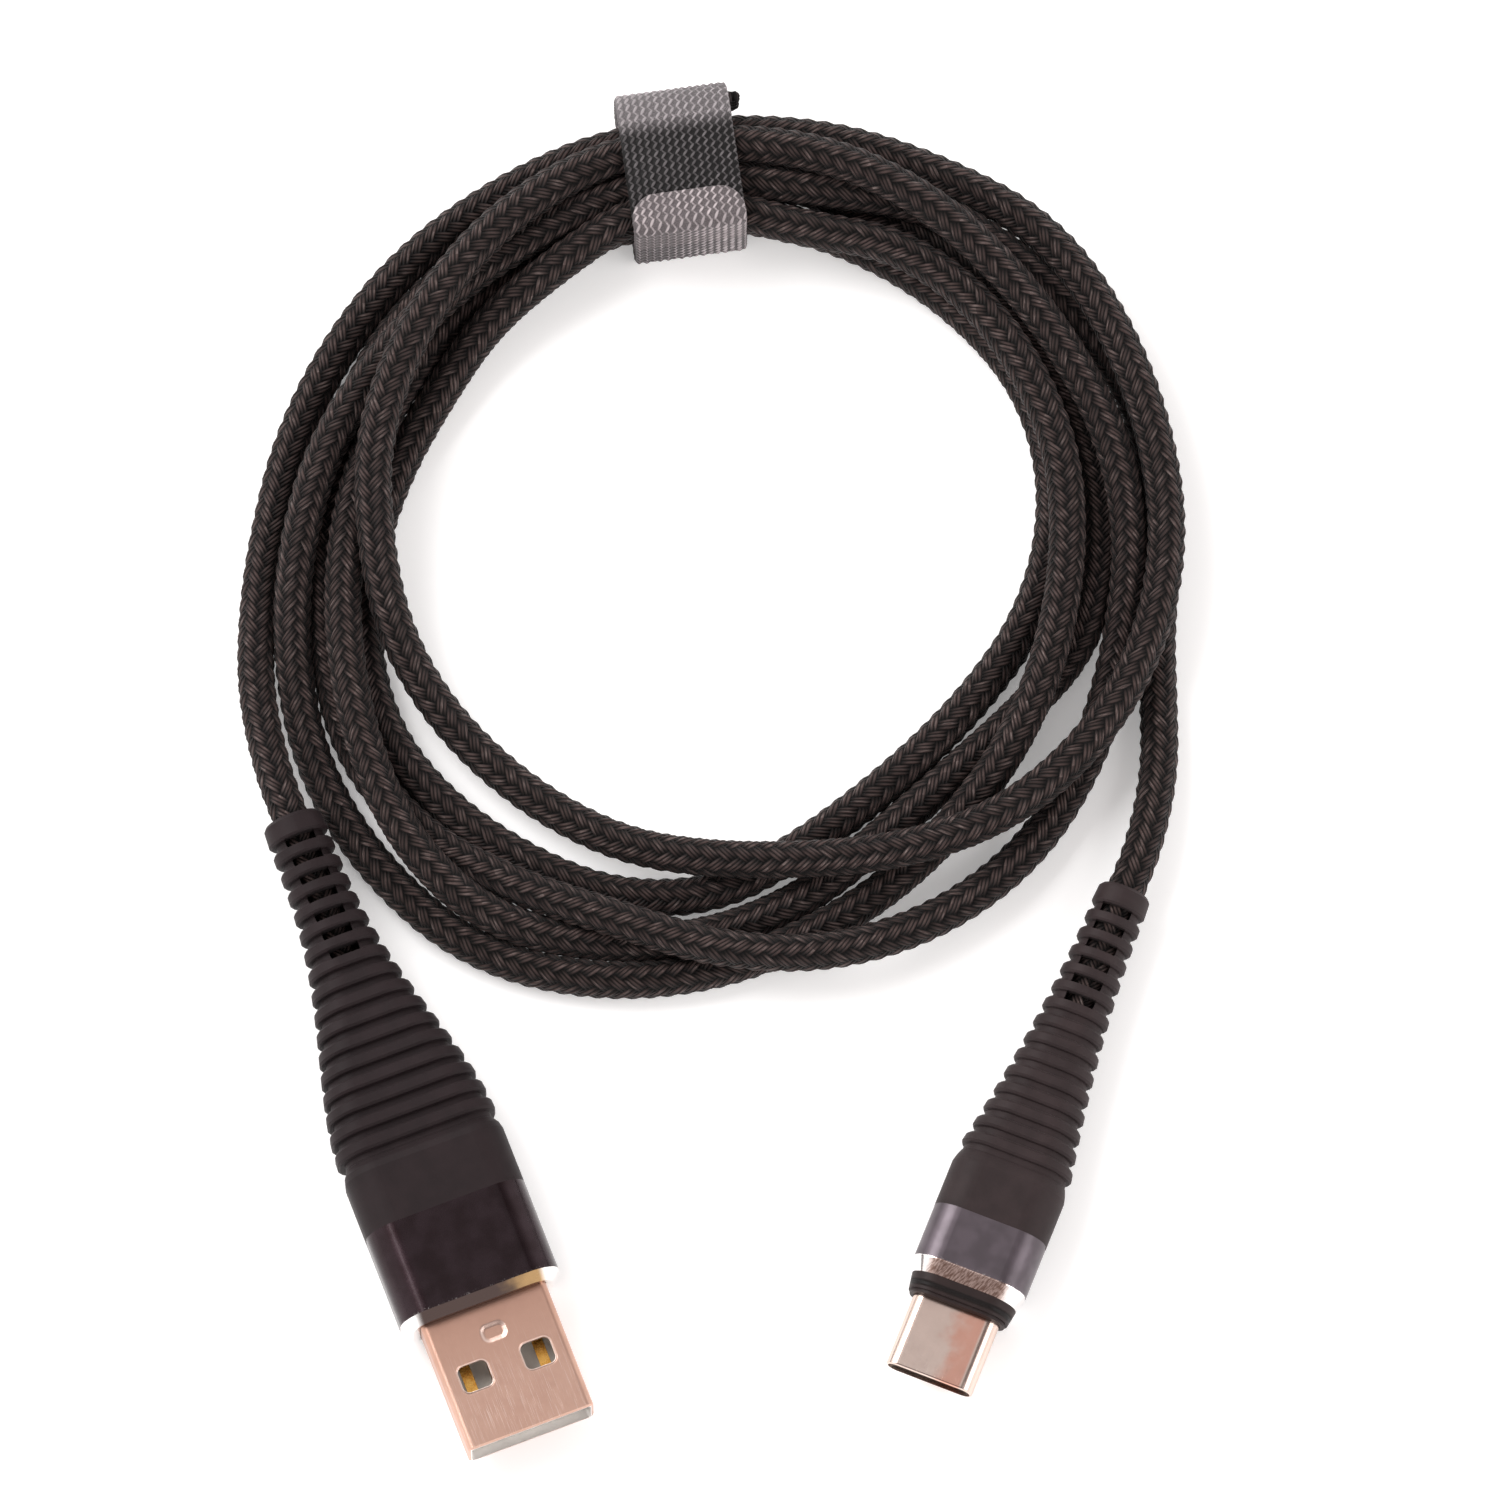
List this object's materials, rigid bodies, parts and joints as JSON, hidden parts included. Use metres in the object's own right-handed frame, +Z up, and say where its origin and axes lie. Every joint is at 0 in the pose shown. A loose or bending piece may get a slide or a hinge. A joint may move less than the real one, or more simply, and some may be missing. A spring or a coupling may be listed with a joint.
{
  "type": "charging cable",
  "caption": "Coiled braided charging cable with a USB-A plug, a USB-C plug, long ribbed strain reliefs and a hook-and-loop tie.",
  "frame": {"origin": "on the table, under the middle of the two plugs and the tie", "axes": "+Z up, +Y from the plugs towards the tie, +X from the USB-A plug towards the USB-C plug"},
  "size_m": [0.0871, 0.128, 0.0102],
  "materials": {
    "braided_cord": "two-way braided polyester sleeve",
    "usb_a_steel": "satin nickel-plated steel",
    "usb_c_steel": "polished nickel-plated steel",
    "anodised_black": "gloss anodised aluminium with a cut edge",
    "anodised_slate": "gloss anodised aluminium with a cut edge",
    "boot_elastomer": "matte moulded elastomer",
    "lip_plastic": "matte moulded plastic",
    "inner_plastic": "natural moulded plastic",
    "tongue_plastic": "grey moulded plastic",
    "mouth_plastic": "black moulded plastic",
    "gold_contact": "gold-plated",
    "spring_steel": "spring steel",
    "crimp_steel": "tinned steel",
    "board_laminate": "solder-masked laminate",
    "resistor_body": "ceramic chip",
    "wire_red": "insulated core",
    "wire_black": "insulated core",
    "wire_green": "insulated core",
    "wire_white": "insulated core",
    "strap_fabric": "hook-and-loop twill weave"
  },
  "bodies": {
    "root": {"cord_coil": "braided_cord", "cord_run_usb_a": "braided_cord", "cord_run_usb_c": "braided_cord", "strap_band": "strap_fabric", "usb_a_boot": "boot_elastomer", "usb_a_cord_end": "braided_cord", "usb_a_data_contacts": "gold_contact", "usb_a_data_minus_wire": "wire_white", "usb_a_data_plus_wire": "wire_green", "usb_a_ferrule": "crimp_steel", "usb_a_ground_wire": "wire_black", "usb_a_housing": "anodised_black", "usb_a_inner_mould": "inner_plastic", "usb_a_power_contacts": "gold_contact", "usb_a_power_wire": "wire_red", "usb_a_rear_block": "inner_plastic", "usb_a_shell": "usb_a_steel", "usb_a_tongue": "tongue_plastic", "usb_c_boot": "boot_elastomer", "usb_c_circuit_board": "board_laminate", "usb_c_cord_end": "braided_cord", "usb_c_data_minus_wire": "wire_white", "usb_c_data_plus_wire": "wire_green", "usb_c_ferrule": "crimp_steel", "usb_c_ground_springs": "spring_steel", "usb_c_ground_wire": "wire_black", "usb_c_housing": "anodised_slate", "usb_c_inner_mould": "lip_plastic", "usb_c_insulator": "mouth_plastic", "usb_c_lower_contacts": "gold_contact", "usb_c_power_wire": "wire_red", "usb_c_pull_up_resistor": "resistor_body", "usb_c_shell": "usb_c_steel", "usb_c_upper_contacts": "gold_contact"},
    "strap_side": {"strap_side": "strap_fabric"},
    "strap_tip": {"strap_tip": "strap_fabric"},
    "usb_c_latch_left": {"usb_c_latch_left": "spring_steel"},
    "usb_c_latch_right": {"usb_c_latch_right": "spring_steel"}
  },
  "joints": [
    {"name": "strap_side_fold", "type": "hinge", "parent": "root", "child": "strap_side", "pos_m": [-0.00152, 0.05021, 0.00055], "axis": [0.9903, 0.1392, 0], "range_deg": [0, 88]},
    {"name": "strap_tip_fold", "type": "hinge", "parent": "strap_side", "child": "strap_tip", "pos_m": [-0.00152, 0.05021, 0.0097], "axis": [0.9903, 0.1392, 0], "range_deg": [0, 90]},
    {"name": "latch_left_flex", "type": "hinge", "parent": "root", "child": "usb_c_latch_left", "pos_m": [0.01885, -0.04982, 0.0032], "axis": [0, 0, -1], "range_deg": [0, 2], "stiffness_Nm_per_rad": 0.05},
    {"name": "latch_right_flex", "type": "hinge", "parent": "root", "child": "usb_c_latch_right", "pos_m": [0.02545, -0.05242, 0.0032], "axis": [0, 0, 1], "range_deg": [0, 2], "stiffness_Nm_per_rad": 0.05}
  ]
}
